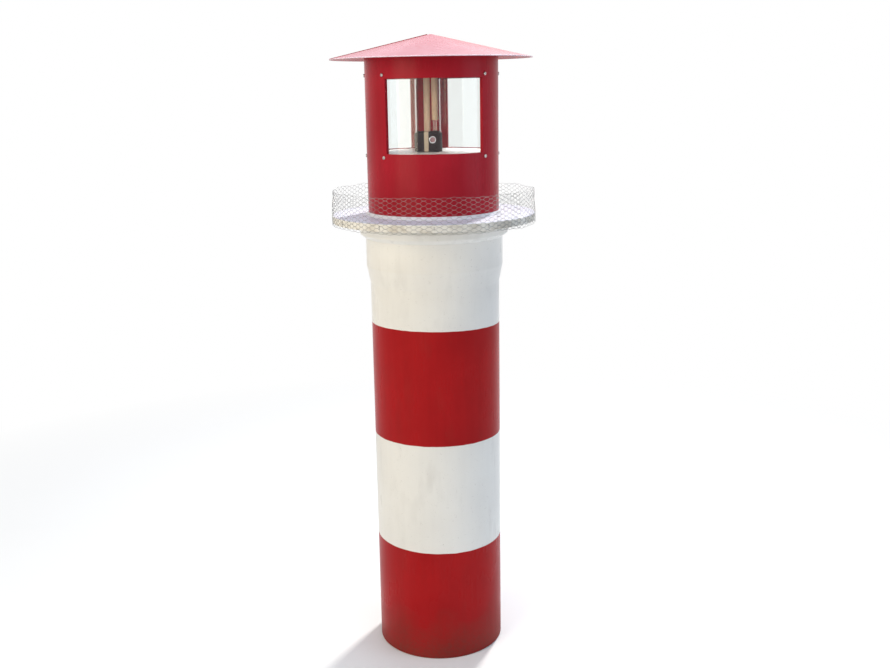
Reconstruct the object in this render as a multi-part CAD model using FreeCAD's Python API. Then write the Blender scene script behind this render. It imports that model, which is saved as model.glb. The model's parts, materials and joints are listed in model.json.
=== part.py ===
import FreeCAD, Part
import math
import os

# Garden lighthouse ornament: a socketed drain pipe as the tower, a second length
# of the same pipe plugged into its socket as the lantern, a round gallery board
# between them with a strip of wire netting as the railing, a sheet cone as the
# roof and a small battery lamp inside.
#
# Millimetres, +Z up. The origin is the middle of the tower's foot, on the ground.
# The viewer stands at -Y. An azimuth is counted from -Y towards +X, in degrees.

Vector = FreeCAD.Vector
UP = Vector(0, 0, 1)
OUTWARD = Vector(0, -1, 0)
CENTRE = Vector(0, 0, 0)

# Pipe, one standard size for the tower and the lantern
PIPE_OUTER_R = 157.5
PIPE_WALL = 7.7
PIPE_END_CHAMFER = 2.0

# Tower and its socket
TOWER_HEIGHT = 1086.0
SOCKET_DEPTH = 106.0
SOCKET_TAPER = 43.0
SOCKET_CLEARANCE = 0.8
SOCKET_LIP_FLARE = 2.5
BEAD_BELOW_LIP = 4.0
BEAD_HEIGHT = 34.0
BEAD_FLAT = 14.0
BEAD_RISE = 13.5
BEAD_ROUNDING = 4.0
SEAL_HEIGHT = 12.0
SEAL_CLEARANCE = 0.1
SEAL_ROUNDING = 1.5

# Gallery board
BOARD_R = 244.0
BOARD_THICKNESS = 18.0
BOARD_EDGE_ROUNDING = 1.5
BOARD_HOLE_CLEARANCE = 0.5
WEEP_HOLE_R = 2.5
WEEP_CIRCLE_R = 188.0
WEEP_COUNT = 3
WEEP_AZIMUTH = -30.0

# Wire netting round the board's edge
NET_ABOVE_BOARD = 60.0
NET_BELOW_BOARD = 4.0
NET_WIRE = 1.2
NET_COLUMNS = 72
NET_ROWS = 3
NET_CLEARANCE = 0.1

# Staples that hold the netting, each over one twist of the wires
STAPLE_COLUMN_STEP = 6
STAPLE_WIRE_R = 0.6
STAPLE_SPAN = 7.0
STAPLE_DEPTH = 9.0

# Lantern: pipe length, windows, panes and their screws
LANTERN_LENGTH = 500.0
LANTERN_END_GAP = 3.0
LANTERN_TURN = 2.5
WINDOW_HEAD_BELOW_TOP = 63.0
WINDOW_HEIGHT = 168.0
FRONT_WINDOW_HALF_ANGLE = 44.5
REAR_WINDOW_HALF_ANGLE = 35.25
REAR_WINDOW_AZIMUTH = 127.25
PANE_THICKNESS = 2.0
PANE_OVERLAP = 16.0
PANE_CLEARANCE = 0.05
SCREW_FROM_WINDOW = 8.5
SCREW_R = 2.0
SCREW_LENGTH = 16.0
SCREW_HEAD_R = 4.0
SCREW_HEAD_HEIGHT = 2.6
SCREW_HEAD_ROUNDING = 1.5
SCREW_HOLE_CLEARANCE = 0.25
DRIVE_SLOT_WIDTH = 0.9
DRIVE_SLOT_DEPTH = 1.2
WASHER_R = 4.5
WASHER_THICKNESS = 0.8
NUT_ACROSS_FLATS = 7.0
NUT_THICKNESS = 3.2
FASTENER_FIT = 0.05
SEATING_GAP = 0.1

# Bead of sealant round the lantern's foot, on the board
FOOT_BEAD_HEIGHT = 7.0
FOOT_BEAD_WIDTH = 6.0
FOOT_BEAD_EDGE = 1.0
FOOT_BEAD_GAP = 0.1

# Lantern floor, a thin disc that lies on the lower nuts
FLOOR_THICKNESS = 3.0
FLOOR_EDGE_GAP = 1.3

# Roof cone and the brackets that keep it over the lantern
ROOF_R = 238.5
ROOF_PITCH = 13.0
ROOF_SHEET = 1.5
ROOF_SEAT_GAP = 0.3
ROOF_TIP_R = 1.5
ROOF_LAP_START_R = 8.0
ROOF_LAP_ANGLE = 7.0
ROOF_LAP_AZIMUTH = -90.0
BRACKET_COUNT = 3
BRACKET_AZIMUTH = 60.0
BRACKET_WIDTH = 20.0
BRACKET_DROP = 30.0
BRACKET_REACH = 22.0
BRACKET_PLAY = 2.5

# Battery lamp on the lantern floor
LAMP_SHIFT_X = -10.0
LAMP_R = 33.0
LAMP_WALL = 2.0
LAMP_FOOT_HEIGHT = 1.0
LAMP_FOOT_R = 4.0
LAMP_FOOT_CIRCLE_R = 24.0
LAMP_FOOT_COUNT = 3
LAMP_FOOT_AZIMUTH = 60.0
LAMP_BASE_HEIGHT = 43.0
LAMP_PARTITION_THICKNESS = 2.0
LAMP_PLATE_THICKNESS = 2.0
LAMP_FIT = 0.1
LAMP_SPIGOT_HEIGHT = 4.0
COVER_SCREW_CIRCLE_R = 25.5
COVER_SCREW_R = 1.25
COVER_SCREW_LENGTH = 8.0
COVER_SCREW_HEAD_R = 2.3
COVER_SCREW_HEAD_HEIGHT = 1.2
COVER_BOSS_R = 3.2
GLASS_LENGTH = 146.0
GLASS_WALL = 2.5
GLASS_INSET = 2.0
CAP_HEIGHT = 10.0

# Three small round cells and their contact plates
CELL_R = 5.25
CELL_LENGTH = 44.5
CELL_TERMINAL_R = 1.9
CELL_TERMINAL_LENGTH = 0.8
CELL_PITCH = 11.5
CELL_COUNT = 3
CONTACT_THICKNESS = 0.5
CONTACT_MARGIN = 0.6

# Push button, its ring, its switch and the circuit board
BUTTON_AZIMUTH = 17.0
BUTTON_HEIGHT = 29.0
BUTTON_R = 6.0
BUTTON_RUNNING_FIT = 0.08
BUTTON_TRAVEL = 1.5
BUTTON_PROUD = 1.0
BUTTON_ROUNDING = 0.8
BUTTON_FLANGE_R = 7.4
BUTTON_FLANGE_THICKNESS = 1.5
BUTTON_FLANGE_GAP = 0.3
BOSS_R = 9.5
BOSS_PROUD = 1.0
BOSS_DEPTH = 6.0
BUTTON_RING_R = 8.5
BUTTON_RING_BORE_R = 6.4
BUTTON_RING_THICKNESS = 1.5
BUTTON_RING_ROUNDING = 0.9
SWITCH_SIDE = 12.0
SWITCH_DEPTH = 5.0
SWITCH_GAP = 0.2
CIRCUIT_WIDTH = 36.0
CIRCUIT_THICKNESS = 1.6
CIRCUIT_TOP_GAP = 1.0

# Light tubes of the lamp
TUBE_R = 7.5
TUBE_WALL = 1.0
TUBE_END_GAP = 4.0
TALL_TUBE_X = -2.0
TALL_TUBE_Y = -11.0
SHORT_TUBE_X = 16.7
SHORT_TUBE_Y = -8.0
SHORT_TUBE_LENGTH = 108.0
LEAD_R = 0.75
LEAD_SPACING = 3.5
LED_STRIP_WIDTH = 8.0
LED_STRIP_THICKNESS = 1.0
LED_STRIP_END_GAP = 1.0

# Sizes that follow from the ones above
PIPE_INNER_R = PIPE_OUTER_R - PIPE_WALL
SOCKET_INNER_R = PIPE_OUTER_R + SOCKET_CLEARANCE
SOCKET_OUTER_R = SOCKET_INNER_R + PIPE_WALL
SOCKET_FLOOR_Z = TOWER_HEIGHT - SOCKET_DEPTH
BEAD_TOP_Z = TOWER_HEIGHT - BEAD_BELOW_LIP
BEAD_FLAT_TOP_Z = BEAD_TOP_Z - (BEAD_HEIGHT - BEAD_FLAT) / 2
BEAD_FLAT_LOW_Z = BEAD_FLAT_TOP_Z - BEAD_FLAT
BEAD_LOW_Z = BEAD_TOP_Z - BEAD_HEIGHT
BOARD_TOP_Z = TOWER_HEIGHT + BOARD_THICKNESS
NET_LOW_Z = TOWER_HEIGHT - NET_BELOW_BOARD
NET_TOP_Z = BOARD_TOP_Z + NET_ABOVE_BOARD
NET_INNER_R = BOARD_R + NET_CLEARANCE
NET_OUTER_R = NET_INNER_R + NET_WIRE
NET_ROW_PITCH = (NET_TOP_Z - NET_LOW_Z - NET_WIRE) / NET_ROWS
NET_COLUMN_ANGLE = 360.0 / NET_COLUMNS
LANTERN_LOW_Z = SOCKET_FLOOR_Z + LANTERN_END_GAP
LANTERN_TOP_Z = LANTERN_LOW_Z + LANTERN_LENGTH
HEAD_Z = LANTERN_TOP_Z - WINDOW_HEAD_BELOW_TOP
SILL_Z = HEAD_Z - WINDOW_HEIGHT
PANE_OUTER_R = PIPE_INNER_R - PANE_CLEARANCE
PANE_INNER_R = PANE_OUTER_R - PANE_THICKNESS
LOWER_SCREW_Z = SILL_Z - SCREW_FROM_WINDOW
UPPER_SCREW_Z = HEAD_Z + SCREW_FROM_WINDOW
FLOOR_LOW_Z = LOWER_SCREW_Z + NUT_ACROSS_FLATS / 2
FLOOR_TOP_Z = FLOOR_LOW_Z + FLOOR_THICKNESS
ROOF_SLOPE = math.tan(math.radians(ROOF_PITCH))
ROOF_SHEET_UPRIGHT = ROOF_SHEET * math.hypot(1.0, ROOF_SLOPE)
LAMP_INNER_R = LAMP_R - LAMP_WALL
LAMP_TOP_Z = LAMP_FOOT_HEIGHT + LAMP_BASE_HEIGHT
COVER_TOP_Z = LAMP_FOOT_HEIGHT + LAMP_WALL
CELL_AXIS_Z = COVER_TOP_Z + CONTACT_MARGIN + CELL_R
PARTITION_LOW_Z = CELL_AXIS_Z + CELL_R + CONTACT_MARGIN
PARTITION_TOP_Z = PARTITION_LOW_Z + LAMP_PARTITION_THICKNESS
GLASS_R = LAMP_R - GLASS_INSET
GLASS_TOP_Z = LAMP_TOP_Z + GLASS_LENGTH
SPIGOT_R = GLASS_R - GLASS_WALL - LAMP_FIT
SHORT_TUBE_TOP_Z = GLASS_TOP_Z - LAMP_SPIGOT_HEIGHT - TUBE_END_GAP
SHORT_TUBE_LOW_Z = SHORT_TUBE_TOP_Z - SHORT_TUBE_LENGTH
BOSS_FACE_R = LAMP_R + BOSS_PROUD
BOSS_BACK_R = BOSS_FACE_R - BOSS_DEPTH
BUTTON_FACE_R = BOSS_FACE_R + BUTTON_RING_THICKNESS + BUTTON_PROUD
BUTTON_BACK_R = BOSS_BACK_R - BUTTON_FLANGE_GAP - BUTTON_FLANGE_THICKNESS
SWITCH_FACE_R = BUTTON_BACK_R - BUTTON_TRAVEL - SWITCH_GAP
SWITCH_BACK_R = SWITCH_FACE_R - SWITCH_DEPTH


def turned(shape, azimuth):
    """The shape, built facing the viewer, turned about the tower's axis."""
    result = shape.copy()
    result.rotate(CENTRE, UP, azimuth)
    return result


def revolved(points, angle=360.0):
    """The solid swept round the axis by a closed profile of (radius, height) points."""
    corners = [Vector(radius, 0, height) for radius, height in points]
    face = Part.Face(Part.makePolygon(corners + corners[:1]))
    return face.revolve(CENTRE, UP, angle)


def ring(inner_r, outer_r, low, high):
    """An upright tube wall between two heights."""
    return revolved([(inner_r, low), (outer_r, low), (outer_r, high), (inner_r, high)])


def disc(radius, low, high):
    """An upright round bar or plate between two heights."""
    return Part.makeCylinder(radius, high - low, Vector(0, 0, low), UP)


def arc_wall(inner_r, outer_r, low, high, half_angle):
    """A stretch of tube wall, centred on the viewer's side."""
    profile = [(inner_r, low), (outer_r, low), (outer_r, high), (inner_r, high)]
    return turned(revolved(profile, 2 * half_angle), -90.0 - half_angle)


def radial_bar(radius, near_r, far_r, height):
    """A round bar that points at the viewer, from near_r to far_r off the axis."""
    return Part.makeCylinder(radius, far_r - near_r, Vector(0, -near_r, height), OUTWARD)


def radial_prism(across_flats, near_r, far_r, height):
    """A hexagonal bar that points at the viewer, with a flat on top."""
    corner_r = across_flats / math.sqrt(3.0)
    corners = []
    for step in range(6):
        angle = math.radians(60.0 * step)
        corners.append(Vector(corner_r * math.cos(angle), -near_r, height + corner_r * math.sin(angle)))
    face = Part.Face(Part.makePolygon(corners + corners[:1]))
    return face.extrude(OUTWARD * (far_r - near_r))


def circular_edges(shape, low, high):
    """The round edges that lie level, at a height from low to high."""
    found = []
    for edge in shape.Edges:
        box = edge.BoundBox
        level = box.ZLength < 0.01
        if level and low <= box.ZMin <= high and box.XLength > PIPE_OUTER_R:
            found.append(edge)
    return found


def arc_degrees(length, radius):
    """The angle that an arc of this length takes at this radius."""
    return math.degrees(length / radius)


def windows():
    """Each window's node suffix, azimuth and half angle."""
    return [
        ("front", LANTERN_TURN, FRONT_WINDOW_HALF_ANGLE),
        ("left", LANTERN_TURN - REAR_WINDOW_AZIMUTH, REAR_WINDOW_HALF_ANGLE),
        ("right", LANTERN_TURN + REAR_WINDOW_AZIMUTH, REAR_WINDOW_HALF_ANGLE),
    ]


def pane_screw_places():
    """The azimuth and height of each screw, four round each window."""
    offset = arc_degrees(SCREW_FROM_WINDOW, PIPE_OUTER_R)
    places = []
    for name, azimuth, half_angle in windows():
        for side in (-1, 1):
            for height in (LOWER_SCREW_Z, UPPER_SCREW_Z):
                places.append((azimuth + side * (half_angle + offset), height))
    return places


def staple_places():
    """The azimuth of each staple, over the twists of every sixth column."""
    return [NET_COLUMN_ANGLE * column for column in range(0, NET_COLUMNS, STAPLE_COLUMN_STEP)]


def staple_height():
    """The height of the first twist above the netting's lower edge."""
    return NET_LOW_Z + NET_WIRE / 2 + NET_ROW_PITCH / 2


def tower_pipe():
    """The tower: one pipe, foot down, with its moulded socket on top."""
    chamfer = PIPE_END_CHAMFER
    bead_r = SOCKET_OUTER_R + BEAD_RISE
    taper_low_z = SOCKET_FLOOR_Z - SOCKET_TAPER
    profile = [
        (PIPE_INNER_R, 0),
        (PIPE_OUTER_R - chamfer, 0),
        (PIPE_OUTER_R, chamfer),
        (PIPE_OUTER_R, taper_low_z),
        (SOCKET_OUTER_R, SOCKET_FLOOR_Z),
        (SOCKET_OUTER_R, BEAD_LOW_Z),
        (bead_r, BEAD_FLAT_LOW_Z),
        (bead_r, BEAD_FLAT_TOP_Z),
        (SOCKET_OUTER_R + SOCKET_LIP_FLARE, BEAD_TOP_Z),
        (SOCKET_OUTER_R + SOCKET_LIP_FLARE, TOWER_HEIGHT),
        (SOCKET_INNER_R + SOCKET_LIP_FLARE, TOWER_HEIGHT),
        (SOCKET_INNER_R, BEAD_TOP_Z),
        (bead_r - PIPE_WALL, BEAD_FLAT_TOP_Z),
        (bead_r - PIPE_WALL, BEAD_FLAT_LOW_Z),
        (SOCKET_INNER_R, BEAD_LOW_Z),
        (SOCKET_INNER_R, SOCKET_FLOOR_Z),
        (PIPE_INNER_R, taper_low_z),
    ]
    pipe = revolved(profile)
    bead_edges = circular_edges(pipe, BEAD_FLAT_LOW_Z - 1, BEAD_FLAT_TOP_Z + 1)
    outer_edges = [edge for edge in bead_edges if edge.BoundBox.XMax > bead_r - 1]
    return pipe.makeFillet(BEAD_ROUNDING, outer_edges)


def socket_seal_ring():
    """The rubber ring in the socket's groove, which grips the lantern pipe."""
    middle_z = (BEAD_FLAT_LOW_Z + BEAD_FLAT_TOP_Z) / 2
    inner_r = PIPE_OUTER_R + SEAL_CLEARANCE
    outer_r = SOCKET_OUTER_R + BEAD_RISE - PIPE_WALL - SEAL_CLEARANCE
    seal = ring(inner_r, outer_r, middle_z - SEAL_HEIGHT / 2, middle_z + SEAL_HEIGHT / 2)
    return seal.makeFillet(SEAL_ROUNDING, circular_edges(seal, 0, LANTERN_TOP_Z))


def staple_legs(radius):
    """Two round bars that reach from outside the netting into the board's edge."""
    legs = []
    for side in (-1, 1):
        height = staple_height() + side * STAPLE_SPAN / 2
        legs.append(radial_bar(radius, BOARD_R - STAPLE_DEPTH, NET_OUTER_R + STAPLE_WIRE_R, height))
    return legs


def gallery_board():
    """The gallery: a round board with a hole that the lantern pipe passes through."""
    hole_r = PIPE_OUTER_R + BOARD_HOLE_CLEARANCE
    board = ring(hole_r, BOARD_R, TOWER_HEIGHT, BOARD_TOP_Z)
    rim = [edge for edge in circular_edges(board, 0, BOARD_TOP_Z) if edge.BoundBox.XMax > BOARD_R - 1]
    board = board.makeFillet(BOARD_EDGE_ROUNDING, rim)
    cuts = []
    for index in range(WEEP_COUNT):
        hole = disc(WEEP_HOLE_R, TOWER_HEIGHT - 1, BOARD_TOP_Z + 1)
        hole.translate(OUTWARD * WEEP_CIRCLE_R)
        cuts.append(turned(hole, WEEP_AZIMUTH + index * 360.0 / WEEP_COUNT))
    for azimuth in staple_places():
        cuts += [turned(leg, azimuth) for leg in staple_legs(STAPLE_WIRE_R)]
    return board.cut(Part.makeCompound(cuts))


def net_cell(low_side, high_side):
    """One gap of the netting, a hexagon or the half of one beside an edge."""
    half_row = NET_ROW_PITCH / 2 - NET_WIRE / 2
    column_width = math.radians(NET_COLUMN_ANGLE) * NET_OUTER_R
    half_flat = column_width / 3 - NET_WIRE / 2 * math.tan(math.radians(30.0))
    half_width = 2 * half_flat
    points = [(half_width, 0)]
    if high_side:
        points += [(half_flat, half_row), (-half_flat, half_row)]
    points.append((-half_width, 0))
    if low_side:
        points += [(-half_flat, -half_row), (half_flat, -half_row)]
    corners = [Vector(x, -NET_INNER_R + NET_WIRE, z) for x, z in points]
    face = Part.Face(Part.makePolygon(corners + corners[:1]))
    return face.extrude(OUTWARD * (2 * NET_WIRE))


def railing_netting():
    """The railing: a band of hexagonal netting, every second column half a row up."""
    band = ring(NET_INNER_R, NET_OUTER_R, NET_LOW_Z, NET_TOP_Z)
    first_z = NET_LOW_Z + NET_WIRE / 2
    cells = []
    for column in range(NET_COLUMNS):
        azimuth = NET_COLUMN_ANGLE * column
        raised = column % 2 == 0
        for row in range(NET_ROWS + (1 if raised else 0)):
            cell = net_cell(not (raised and row == 0), not (raised and row == NET_ROWS))
            height = first_z + NET_ROW_PITCH * (row + (0.0 if raised else 0.5))
            if raised and row == 0:
                height += NET_WIRE / 2
            if raised and row == NET_ROWS:
                height -= NET_WIRE / 2
            cell.translate(Vector(0, 0, height))
            cells.append(turned(cell, azimuth))
    return band.cut(Part.makeCompound(cells))


def netting_staples():
    """Wire staples driven into the board's edge, one bar over each twist."""
    staples = []
    crown_r = NET_OUTER_R + STAPLE_WIRE_R
    half_span = STAPLE_SPAN / 2
    crown = disc(STAPLE_WIRE_R, staple_height() - half_span, staple_height() + half_span)
    crown.translate(OUTWARD * crown_r)
    corners = []
    for side in (-1, 1):
        place = Vector(0, -crown_r, staple_height() + side * half_span)
        corners.append(Part.makeSphere(STAPLE_WIRE_R, place))
    staple = crown.multiFuse(staple_legs(STAPLE_WIRE_R) + corners).removeSplitter()
    for azimuth in staple_places():
        staples.append(turned(staple, azimuth))
    return Part.makeCompound(staples)


def lantern_pipe():
    """The lantern: a pipe length with three windows sawn out of its wall."""
    chamfer = PIPE_END_CHAMFER
    profile = [
        (PIPE_INNER_R, LANTERN_LOW_Z),
        (PIPE_OUTER_R - chamfer, LANTERN_LOW_Z),
        (PIPE_OUTER_R, LANTERN_LOW_Z + chamfer),
        (PIPE_OUTER_R, LANTERN_TOP_Z),
        (PIPE_INNER_R, LANTERN_TOP_Z),
    ]
    cuts = []
    for name, azimuth, half_angle in windows():
        gap = arc_wall(PIPE_INNER_R - 1, PIPE_OUTER_R + 1, SILL_Z, HEAD_Z, half_angle)
        cuts.append(turned(gap, azimuth))
    hole_r = SCREW_R + SCREW_HOLE_CLEARANCE
    for azimuth, height in pane_screw_places():
        hole = radial_bar(hole_r, PIPE_INNER_R - 1, PIPE_OUTER_R + 1, height)
        cuts.append(turned(hole, azimuth))
    return revolved(profile).cut(Part.makeCompound(cuts))


def lantern_foot_bead():
    """The white bead that seals the joint between the lantern and the board."""
    inner_r = PIPE_OUTER_R + FOOT_BEAD_GAP
    outer_r = inner_r + FOOT_BEAD_WIDTH
    top_z = BOARD_TOP_Z + FOOT_BEAD_HEIGHT
    return revolved([
        (inner_r, BOARD_TOP_Z),
        (outer_r, BOARD_TOP_Z),
        (outer_r, BOARD_TOP_Z + FOOT_BEAD_EDGE),
        (inner_r + FOOT_BEAD_EDGE, top_z),
        (inner_r, top_z),
    ])


def window_pane(azimuth, half_angle):
    """A clear sheet bent round the inside of the wall, larger than its window."""
    reach = half_angle + arc_degrees(PANE_OVERLAP, PANE_OUTER_R)
    pane = arc_wall(PANE_INNER_R, PANE_OUTER_R, SILL_Z - PANE_OVERLAP, HEAD_Z + PANE_OVERLAP, reach)
    pane = turned(pane, azimuth)
    holes = []
    for screw_azimuth, height in pane_screw_places():
        hole = radial_bar(SCREW_R + SCREW_HOLE_CLEARANCE, PANE_INNER_R - 1, PANE_OUTER_R + 1, height)
        holes.append(turned(hole, screw_azimuth))
    return pane.cut(Part.makeCompound(holes))


def pane_screws():
    """Pan-head screws, heads outside on the wall, tips inside past the nuts."""
    head_low = PIPE_OUTER_R
    head_high = head_low + SCREW_HEAD_HEIGHT
    head = radial_bar(SCREW_HEAD_R, head_low, head_high, 0)
    crown_edges = [edge for edge in head.Edges if edge.BoundBox.YMax < -head_high + 0.01]
    head = head.makeFillet(SCREW_HEAD_ROUNDING, crown_edges)
    for long_side in (Vector(1, 0, 0), Vector(0, 0, 1)):
        width = SCREW_HEAD_R if long_side.x else DRIVE_SLOT_WIDTH
        height = SCREW_HEAD_R if long_side.z else DRIVE_SLOT_WIDTH
        corner = Vector(-width / 2, -head_high - 1, -height / 2)
        head = head.cut(Part.makeBox(width, DRIVE_SLOT_DEPTH + 1, height, corner))
    shank = radial_bar(SCREW_R, head_low - SCREW_LENGTH, head_low, 0)
    screw = head.fuse(shank)
    screws = []
    for azimuth, height in pane_screw_places():
        placed = screw.translated(UP * height)
        screws.append(turned(placed, azimuth))
    return Part.makeCompound(screws)


def washer_outer_r():
    """How far off the axis a washer's outer face lies, clear of the pane's curve."""
    return PANE_INNER_R - SEATING_GAP


def pane_washers():
    """Flat washers on the panes, inside."""
    outer = washer_outer_r()
    washers = []
    for azimuth, height in pane_screw_places():
        body = radial_bar(WASHER_R, outer - WASHER_THICKNESS, outer, height)
        bore = radial_bar(SCREW_R + FASTENER_FIT, outer - WASHER_THICKNESS - 1, outer + 1, height)
        washers.append(turned(body.cut(bore), azimuth))
    return Part.makeCompound(washers)


def pane_nuts():
    """Hexagonal nuts on the washers; the floor lies on the lower ones."""
    outer = washer_outer_r() - WASHER_THICKNESS
    nuts = []
    for azimuth, height in pane_screw_places():
        body = radial_prism(NUT_ACROSS_FLATS, outer - NUT_THICKNESS, outer, height)
        bore = radial_bar(SCREW_R + FASTENER_FIT, outer - NUT_THICKNESS - 1, outer + 1, height)
        nuts.append(turned(body.cut(bore), azimuth))
    return Part.makeCompound(nuts)


def lantern_floor():
    """The white disc that the lamp stands on, just under the sills."""
    return disc(PANE_INNER_R - FLOOR_EDGE_GAP, FLOOR_LOW_Z, FLOOR_TOP_Z)


def roof_underside(radius):
    """The height of the cone's under face at this radius."""
    return LANTERN_TOP_Z + ROOF_SEAT_GAP + (PIPE_OUTER_R - radius) * ROOF_SLOPE


def roof_cone():
    """The roof: a sheet disc pulled into a shallow cone, one edge lapped on the other."""
    upright = ROOF_SHEET_UPRIGHT
    eave_z = roof_underside(ROOF_R)
    tip_z = roof_underside(ROOF_TIP_R)
    lap_start_z = roof_underside(ROOF_LAP_START_R)
    sheet = revolved([
        (0, tip_z),
        (ROOF_TIP_R, tip_z),
        (ROOF_R, eave_z),
        (ROOF_R, eave_z + upright),
        (ROOF_TIP_R, tip_z + upright),
        (0, tip_z + upright),
    ])
    lap_profile = [
        (ROOF_LAP_START_R, lap_start_z + upright / 2),
        (ROOF_R, eave_z + upright / 2),
        (ROOF_R, eave_z + 2 * upright),
        (ROOF_LAP_START_R, lap_start_z + 2 * upright),
    ]
    lap = turned(revolved(lap_profile, ROOF_LAP_ANGLE), ROOF_LAP_AZIMUTH - 90.0)
    return sheet.fuse(lap)


def roof_brackets():
    """Bent strips under the cone that hang inside the lantern wall with some play."""
    hook_r = PIPE_INNER_R - BRACKET_PLAY
    inner_r = hook_r - ROOF_SHEET
    reach_r = hook_r - BRACKET_REACH
    gap = SEATING_GAP
    low = LANTERN_TOP_Z - BRACKET_DROP
    points = [
        (hook_r, low),
        (hook_r, roof_underside(hook_r) - gap),
        (reach_r, roof_underside(reach_r) - gap),
        (reach_r, roof_underside(reach_r) - gap - ROOF_SHEET),
        (inner_r, roof_underside(inner_r) - gap - ROOF_SHEET),
        (inner_r, low),
    ]
    corners = [Vector(-BRACKET_WIDTH / 2, -radius, height) for radius, height in points]
    face = Part.Face(Part.makePolygon(corners + corners[:1]))
    bracket = face.extrude(Vector(BRACKET_WIDTH, 0, 0))
    brackets = []
    for index in range(BRACKET_COUNT):
        brackets.append(turned(bracket, BRACKET_AZIMUTH + index * 360.0 / BRACKET_COUNT))
    return Part.makeCompound(brackets)


def on_lantern_floor(shape):
    """The lamp piece, built about the lamp's own axis, set down in the lantern."""
    return shape.translated(Vector(LAMP_SHIFT_X, 0, FLOOR_TOP_Z))


def cover_screw_centres():
    """Where the two screws of the battery cover stand."""
    return [Vector(0, side * COVER_SCREW_CIRCLE_R, 0) for side in (-1, 1)]


def lamp_base():
    """The lamp's body: a drum with a partition, battery room below, switch room above."""
    low = LAMP_FOOT_HEIGHT
    plate_low = LAMP_TOP_Z - LAMP_PLATE_THICKNESS
    drum = ring(LAMP_INNER_R, LAMP_R, low, plate_low)
    partition = disc(LAMP_R - LAMP_WALL / 2, PARTITION_LOW_Z, PARTITION_TOP_Z)
    boss = radial_bar(BOSS_R, BOSS_BACK_R, BOSS_FACE_R, BUTTON_HEIGHT)
    parts = [partition, turned(boss, BUTTON_AZIMUTH)]
    cuts = []
    for centre in cover_screw_centres():
        parts.append(disc(COVER_BOSS_R, COVER_TOP_Z, PARTITION_LOW_Z).translated(centre))
        pilot_top = LAMP_FOOT_HEIGHT + COVER_SCREW_HEAD_HEIGHT + COVER_SCREW_LENGTH + LAMP_FIT
        cuts.append(disc(COVER_SCREW_R + FASTENER_FIT, COVER_TOP_Z - 1, pilot_top).translated(centre))
    bore_r = BUTTON_R + BUTTON_RUNNING_FIT
    bore = radial_bar(bore_r, BOSS_BACK_R - 1, BOSS_FACE_R + 1, BUTTON_HEIGHT)
    cuts.append(turned(bore, BUTTON_AZIMUTH))
    return on_lantern_floor(drum.multiFuse(parts).cut(Part.makeCompound(cuts)))


def lamp_battery_cover():
    """The plate that closes the battery room from below."""
    cover = disc(LAMP_INNER_R - LAMP_FIT, LAMP_FOOT_HEIGHT, COVER_TOP_Z)
    cuts = []
    for centre in cover_screw_centres():
        sink_top = LAMP_FOOT_HEIGHT + COVER_SCREW_HEAD_HEIGHT
        sink = disc(COVER_SCREW_HEAD_R + LAMP_FIT, LAMP_FOOT_HEIGHT - 1, sink_top)
        hole = disc(COVER_SCREW_R + FASTENER_FIT, LAMP_FOOT_HEIGHT, COVER_TOP_Z + 1)
        cuts += [sink.translated(centre), hole.translated(centre)]
    return on_lantern_floor(cover.cut(Part.makeCompound(cuts)))


def lamp_cover_screws():
    """Two short screws that hold the battery cover."""
    screws = []
    head_top = LAMP_FOOT_HEIGHT + COVER_SCREW_HEAD_HEIGHT
    for centre in cover_screw_centres():
        head = disc(COVER_SCREW_HEAD_R, LAMP_FOOT_HEIGHT, head_top)
        shank = disc(COVER_SCREW_R, head_top, head_top + COVER_SCREW_LENGTH)
        screws.append(head.fuse(shank).translated(centre))
    return on_lantern_floor(Part.makeCompound(screws))


def lamp_feet():
    """Small round rubber feet under the battery cover."""
    feet = []
    for index in range(LAMP_FOOT_COUNT):
        foot = disc(LAMP_FOOT_R, 0, LAMP_FOOT_HEIGHT).translated(OUTWARD * LAMP_FOOT_CIRCLE_R)
        feet.append(turned(foot, LAMP_FOOT_AZIMUTH + index * 360.0 / LAMP_FOOT_COUNT))
    return on_lantern_floor(Part.makeCompound(feet))


def lamp_batteries():
    """Round cells that lie side by side in the battery room."""
    cells = []
    body_length = CELL_LENGTH - CELL_TERMINAL_LENGTH
    for index in range(CELL_COUNT):
        y = (index - (CELL_COUNT - 1) / 2) * CELL_PITCH
        facing = 1 if index % 2 == 0 else -1
        start = Vector(-facing * CELL_LENGTH / 2, y, CELL_AXIS_Z)
        along = Vector(facing, 0, 0)
        body = Part.makeCylinder(CELL_R, body_length, start, along)
        terminal_start = start + along * body_length
        terminal = Part.makeCylinder(CELL_TERMINAL_R, CELL_TERMINAL_LENGTH, terminal_start, along)
        cells.append(body.fuse(terminal))
    return on_lantern_floor(Part.makeCompound(cells))


def lamp_battery_contacts():
    """Spring plates at both ends of the cells."""
    plates = []
    width = CELL_PITCH * (CELL_COUNT - 1) + CELL_R
    low = COVER_TOP_Z + CONTACT_MARGIN
    height = 2 * CELL_R
    for side in (-1, 1):
        near = CELL_LENGTH / 2 + SEATING_GAP
        x = near if side > 0 else -near - CONTACT_THICKNESS
        corner = Vector(x, -width / 2, low)
        plates.append(Part.makeBox(CONTACT_THICKNESS, width, height, corner))
    return on_lantern_floor(Part.makeCompound(plates))


def lamp_button():
    """The push button: a round cap with a flange that stops it from falling out."""
    cap = radial_bar(BUTTON_R, BUTTON_BACK_R, BUTTON_FACE_R, BUTTON_HEIGHT)
    face_edges = [edge for edge in cap.Edges if edge.BoundBox.YMax < -BUTTON_FACE_R + 0.01]
    cap = cap.makeFillet(BUTTON_ROUNDING, face_edges)
    flange_high = BUTTON_BACK_R + BUTTON_FLANGE_THICKNESS
    flange = radial_bar(BUTTON_FLANGE_R, BUTTON_BACK_R, flange_high, BUTTON_HEIGHT)
    return on_lantern_floor(turned(cap.fuse(flange), BUTTON_AZIMUTH))


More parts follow.
